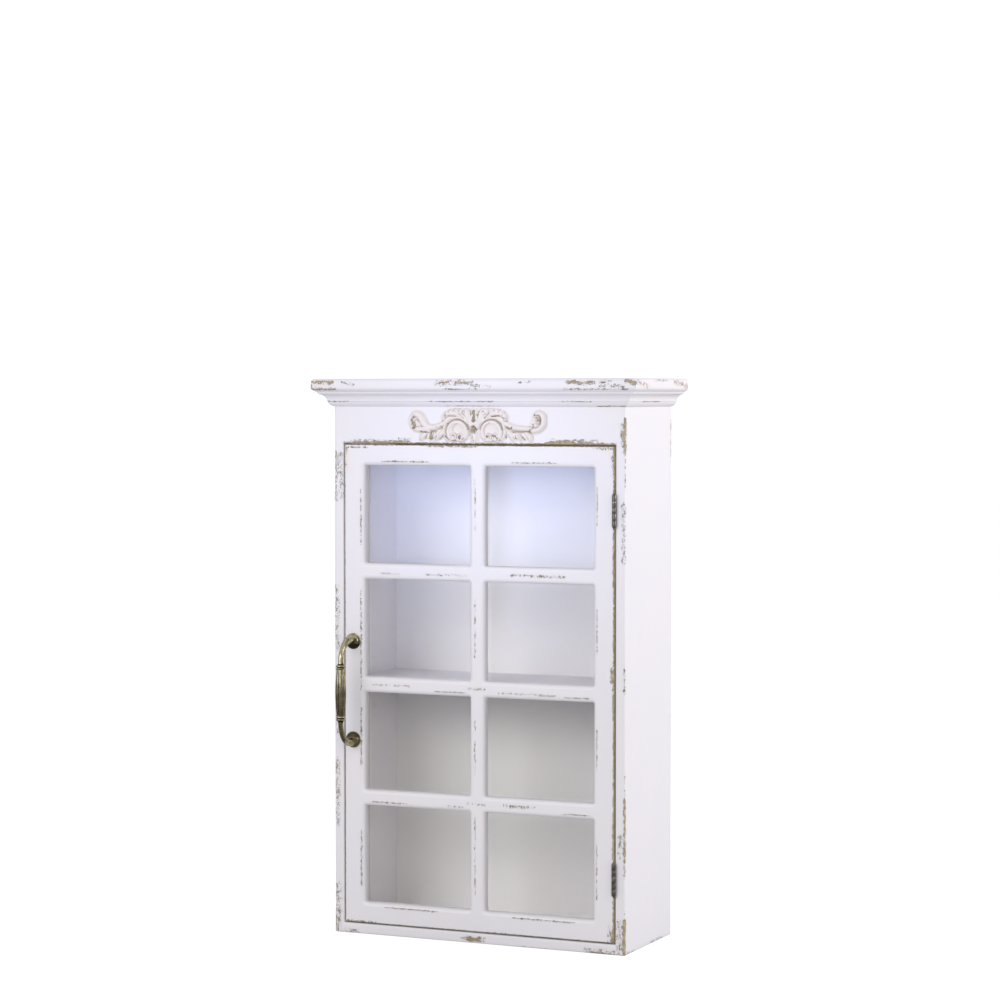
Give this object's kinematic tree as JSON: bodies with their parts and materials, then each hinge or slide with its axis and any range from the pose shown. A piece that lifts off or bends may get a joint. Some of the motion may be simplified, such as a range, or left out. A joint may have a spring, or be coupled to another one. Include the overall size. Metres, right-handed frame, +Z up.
{
  "type": "wall cabinet",
  "caption": "Wall-hung display cabinet in worn white paint: glazed lattice door on butt hinges, moulded cornice, carved scroll ornament, bow handle and inner shelf.",
  "frame": {"origin": "on the wall plane, midway between the two keyhole hangers, at the height of their round entries", "axes": "+X along the wall, +Y into the wall, +Z up"},
  "size_m": [0.452, 0.203, 0.72],
  "materials": {
    "white_paint": "satin white paint, rubbed through along the edges",
    "ornament_paint": "ivory paint, darkened in the hollows",
    "back_panel": "white painted fibreboard, bare brown at the back",
    "bare_wood": "bare pine",
    "glass": "clear float glass",
    "antique_brass": "antiqued, dark in the grooves",
    "dark_iron": "dark bronzed",
    "zinc_steel": "zinc plated",
    "catch_plastic": "moulded, fine grain",
    "magnet": "sintered"
  },
  "bodies": {
    "carcass": {"side_left": "white_paint", "side_right": "white_paint", "bottom_board": "white_paint", "top_board": "white_paint", "frieze_board": "white_paint", "cap_board": "white_paint", "cornice_front": "white_paint", "cornice_left": "white_paint", "cornice_right": "white_paint", "shelf": "white_paint", "ornament": "ornament_paint", "back_panel": "back_panel", "hanging_rail": "bare_wood", "carcass_dowels": "bare_wood", "hinge_upper_frame_leaf": "dark_iron", "hinge_upper_pin": "dark_iron", "hinge_lower_frame_leaf": "dark_iron", "hinge_lower_pin": "dark_iron", "hinge_frame_screws": "dark_iron", "hanger_plate_left": "zinc_steel", "hanger_plate_right": "zinc_steel", "hanger_screws": "zinc_steel", "cap_screws": "zinc_steel", "back_panel_nails": "zinc_steel", "catch_screws": "zinc_steel", "catch_housing": "catch_plastic", "catch_magnet": "magnet"},
    "door": {"door_stile_left": "white_paint", "door_stile_right": "white_paint", "door_rail_top": "white_paint", "door_rail_bottom": "white_paint", "muntin_vertical": "white_paint", "muntin_upper": "white_paint", "muntin_middle": "white_paint", "muntin_lower": "white_paint", "glazing_bead_left": "white_paint", "glazing_bead_right": "white_paint", "glazing_bead_top": "white_paint", "glazing_bead_bottom": "white_paint", "door_glass": "glass", "glazing_pins": "zinc_steel", "hinge_upper_door_leaf": "dark_iron", "hinge_lower_door_leaf": "dark_iron", "hinge_door_screws": "dark_iron", "handle_bow": "antique_brass", "handle_rosette_upper": "antique_brass", "handle_rosette_lower": "antique_brass", "handle_screws": "zinc_steel", "strike_plate": "zinc_steel", "strike_screw": "zinc_steel"}
  },
  "joints": [
    {"name": "door_hinge", "type": "hinge", "parent": "carcass", "child": "door", "pos_m": [0.189, -0.163, 0], "axis": [0, 0, 1], "range_deg": [0, 180]}
  ]
}
